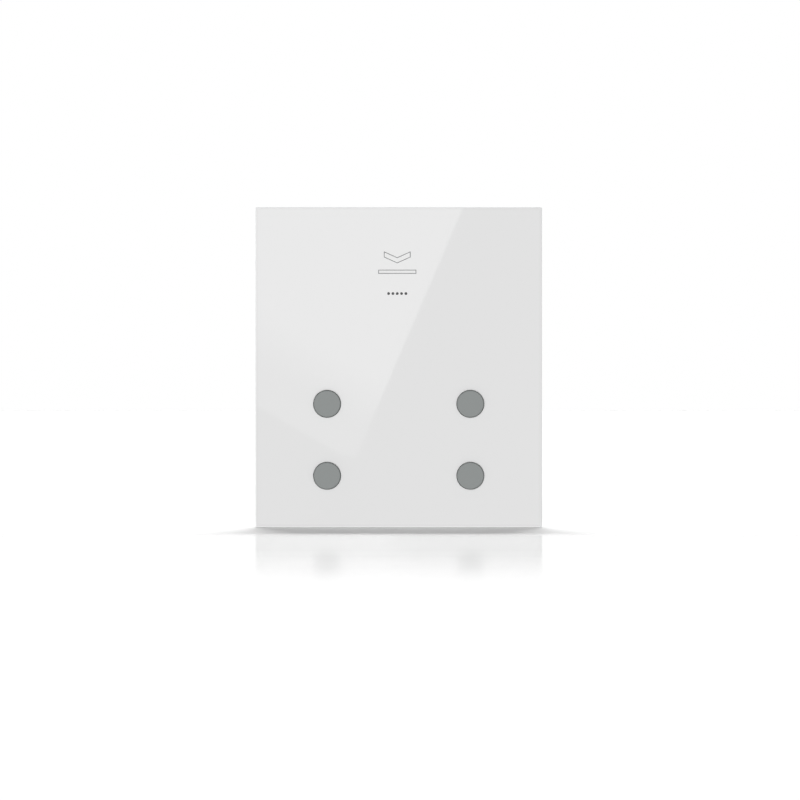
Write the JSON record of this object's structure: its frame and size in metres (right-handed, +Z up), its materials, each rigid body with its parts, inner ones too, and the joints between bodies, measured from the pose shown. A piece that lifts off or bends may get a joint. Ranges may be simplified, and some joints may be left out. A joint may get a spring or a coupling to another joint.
{
  "type": "card-holder wall switch with pushbuttons",
  "caption": "Upright glass-fronted wall switch for an upright wall box, with round pushbuttons in a square group and a card pocket that opens at its top edge.",
  "frame": {"origin": "on the wall surface, at the centre of the wall box screws, which is also the panel's centre seen from the front", "axes": "+X to the right seen from the front, +Y into the wall, +Z up; the glass faces -Y"},
  "size_m": [0.086, 0.0474, 0.096],
  "materials": {
    "panel_glass": "back-painted, polished",
    "foam_tape": "closed-cell foam",
    "white_plastic": "fine moulded texture",
    "cap_plastic": "matte",
    "switch_plastic": "moulded",
    "stem_plastic": "moulded",
    "board_laminate": "solder mask",
    "guide_plastic": "moulded",
    "lever_plastic": "moulded",
    "pin_steel": "ground",
    "frame_steel": "zinc plated",
    "relay_plastic": "moulded",
    "module_plastic": "potted block",
    "can_aluminium": "sleeved",
    "varistor_coating": "dipped",
    "pin_brass": "plated",
    "terminal_plastic": "moulded",
    "screw_steel": "zinc plated"
  },
  "bodies": {
    "base": {"glass_panel": "panel_glass", "panel_tape": "foam_tape", "front_carrier": "white_plastic", "button_board": "board_laminate", "card_guide": "guide_plastic", "lever_pin": "pin_steel", "sensor_switch": "switch_plastic", "base_housing": "white_plastic", "mounting_frame": "frame_steel", "relay_board": "board_laminate", "relay": "relay_plastic", "supply_module": "module_plastic", "filter_capacitor": "can_aluminium", "varistor": "varistor_coating", "board_header": "switch_plastic", "board_socket": "switch_plastic", "header_pins": "pin_brass", "terminal_block": "terminal_plastic", "terminal_clamps": "pin_brass", "rear_cover": "white_plastic", "guide_screws": "screw_steel", "board_screws": "screw_steel", "housing_screws": "screw_steel", "rear_cover_screws": "screw_steel", "sensor_screws": "screw_steel", "terminal_screws": "screw_steel", "lock_screw": "screw_steel", "switch_body_1": "switch_plastic", "switch_body_2": "switch_plastic", "switch_body_3": "switch_plastic", "switch_body_4": "switch_plastic"},
    "button_1": {"button_cap_1": "cap_plastic", "switch_plunger_1": "stem_plastic"},
    "button_2": {"button_cap_2": "cap_plastic", "switch_plunger_2": "stem_plastic"},
    "button_3": {"button_cap_3": "cap_plastic", "switch_plunger_3": "stem_plastic"},
    "button_4": {"button_cap_4": "cap_plastic", "switch_plunger_4": "stem_plastic"},
    "card_lever": {"card_lever": "lever_plastic"},
    "sensor_plunger": {"sensor_plunger": "stem_plastic"}
  },
  "joints": [
    {"name": "button_1_slide", "type": "slide", "parent": "base", "child": "button_1", "axis": [0, 1, 0], "range_m": [0, 0.0007], "stiffness_N_per_m": 1500, "springref_m": -0.0002},
    {"name": "button_2_slide", "type": "slide", "parent": "base", "child": "button_2", "axis": [0, 1, 0], "range_m": [0, 0.0007], "stiffness_N_per_m": 1500, "springref_m": -0.0002},
    {"name": "button_3_slide", "type": "slide", "parent": "base", "child": "button_3", "axis": [0, 1, 0], "range_m": [0, 0.0007], "stiffness_N_per_m": 1500, "springref_m": -0.0002},
    {"name": "button_4_slide", "type": "slide", "parent": "base", "child": "button_4", "axis": [0, 1, 0], "range_m": [0, 0.0007], "stiffness_N_per_m": 1500, "springref_m": -0.0002},
    {"name": "card_lever_swing", "type": "hinge", "parent": "base", "child": "card_lever", "pos_m": [0, -0.0055, 0.02], "axis": [1, 0, 0], "range_deg": [0, 7], "stiffness_Nm_per_rad": 0.035, "springref_deg": -2.86},
    {"name": "sensor_plunger_slide", "type": "slide", "parent": "base", "child": "sensor_plunger", "axis": [0, 1, 0], "range_m": [0, 0.0011]}
  ],
  "couplings": [
    {"joint": "sensor_plunger_slide", "follows": "card_lever_swing", "m_per_rad": 0.009}
  ]
}
